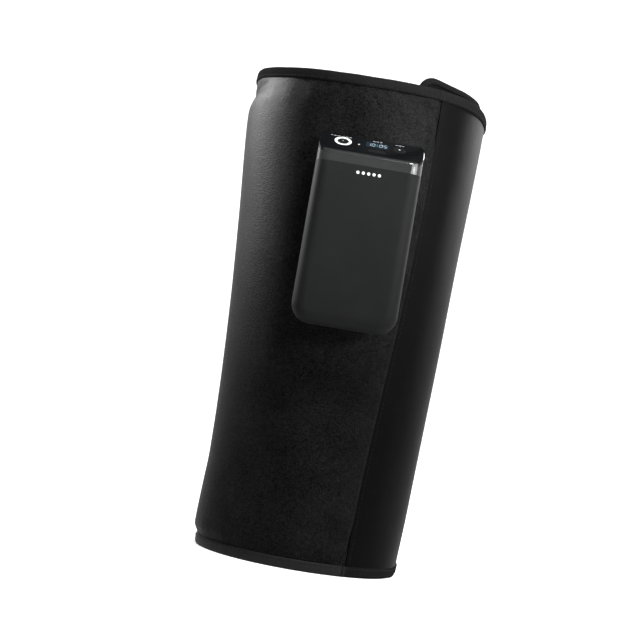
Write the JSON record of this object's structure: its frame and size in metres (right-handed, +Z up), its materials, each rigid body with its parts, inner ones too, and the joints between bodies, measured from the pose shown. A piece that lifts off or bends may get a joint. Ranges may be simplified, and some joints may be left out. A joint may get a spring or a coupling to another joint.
{
  "type": "calf compression sleeve with air pump",
  "caption": "Wrap-around inflatable calf sleeve with a hinged closure flap and a battery air pump module with sprung control keys mounted on its front.",
  "frame": {"origin": "centre of the bounding box, on the plane that the lower hem stands on", "axes": "+Z up the leg from the lower hem, -Y out of the pump's front face, +X to the right as the pump is seen, towards the closure flap"},
  "size_m": [0.16, 0.1796, 0.3205],
  "materials": {
    "knit": "matte fine knit",
    "lining_fabric": "matte brushed fabric",
    "bladder_film": "satin film",
    "binding_tape": "ribbed tape",
    "hem_tape": "ribbed tape",
    "flap_jersey": "smooth laminated jersey",
    "hook_plastic": "moulded hooks",
    "loop_fabric": "napped loop",
    "housing": "fine matte texture",
    "gloss_cap": "gloss",
    "key_gloss": "gloss",
    "display_glass": "gloss dark window",
    "light_guide": "lit white diffuser",
    "circuit_board": "solder mask",
    "steel": "brushed",
    "battery_wrap": "shrink wrap",
    "inner_plastic": "moulded",
    "valve_body": "moulded",
    "soft_seal": "matte"
  },
  "bodies": {
    "sleeve": {"outer_panel": "knit", "lining": "lining_fabric", "lower_bladder": "bladder_film", "middle_bladder": "bladder_film", "upper_bladder": "bladder_film", "top_binding": "binding_tape", "bottom_binding": "hem_tape", "tail_panel": "flap_jersey", "tail_binding": "binding_tape", "loop_panel": "loop_fabric", "front_housing": "housing", "rear_housing": "housing", "housing_gasket": "soft_seal", "top_cap": "gloss_cap", "control_fascia": "gloss_cap", "power_ring_light": "light_guide", "display_window": "display_glass", "display_module": "circuit_board", "status_light": "light_guide", "control_board": "circuit_board", "tact_switches": "steel", "level_light_pipes": "light_guide", "main_board": "circuit_board", "battery_cells": "battery_wrap", "battery_holder": "inner_plastic", "pump_motor": "steel", "pump_head": "inner_plastic", "air_tube": "soft_seal", "air_manifold": "inner_plastic", "port_seals": "soft_seal", "solenoid_valves": "valve_body", "pressure_sensor": "inner_plastic", "charging_socket": "steel", "housing_screws": "steel", "mounting_cradle": "housing", "port_grommets": "soft_seal", "mount_screws": "steel"},
    "flap": {"closure_flap": "flap_jersey", "flap_binding": "binding_tape", "hook_strips": "hook_plastic"},
    "power_key": {"power_button": "key_gloss"},
    "level_key": {"level_button": "key_gloss"},
    "time_key": {"time_button": "key_gloss"},
    "motor_shaft": {"pump_shaft": "steel"}
  },
  "joints": [
    {"name": "flap_hinge", "type": "hinge", "parent": "sleeve", "child": "flap", "pos_m": [0.03361, -0.04645, 0], "axis": [-0.0391, 0.0197, -0.999], "range_deg": [0, 100]},
    {"name": "power_press", "type": "slide", "parent": "sleeve", "child": "power_key", "axis": [0, 0.6084, -0.7937], "range_m": [0, 0.0006], "stiffness_N_per_m": 400},
    {"name": "level_press", "type": "slide", "parent": "sleeve", "child": "level_key", "axis": [0, 0.6084, -0.7937], "range_m": [0, 0.0006], "stiffness_N_per_m": 400},
    {"name": "time_press", "type": "slide", "parent": "sleeve", "child": "time_key", "axis": [0, 0.6084, -0.7937], "range_m": [0, 0.0006], "stiffness_N_per_m": 400},
    {"name": "motor_spin", "type": "hinge", "parent": "sleeve", "child": "motor_shaft", "pos_m": [0.0203, -0.07645, 0.178], "axis": [0, 0, 1], "continuous": true}
  ]
}
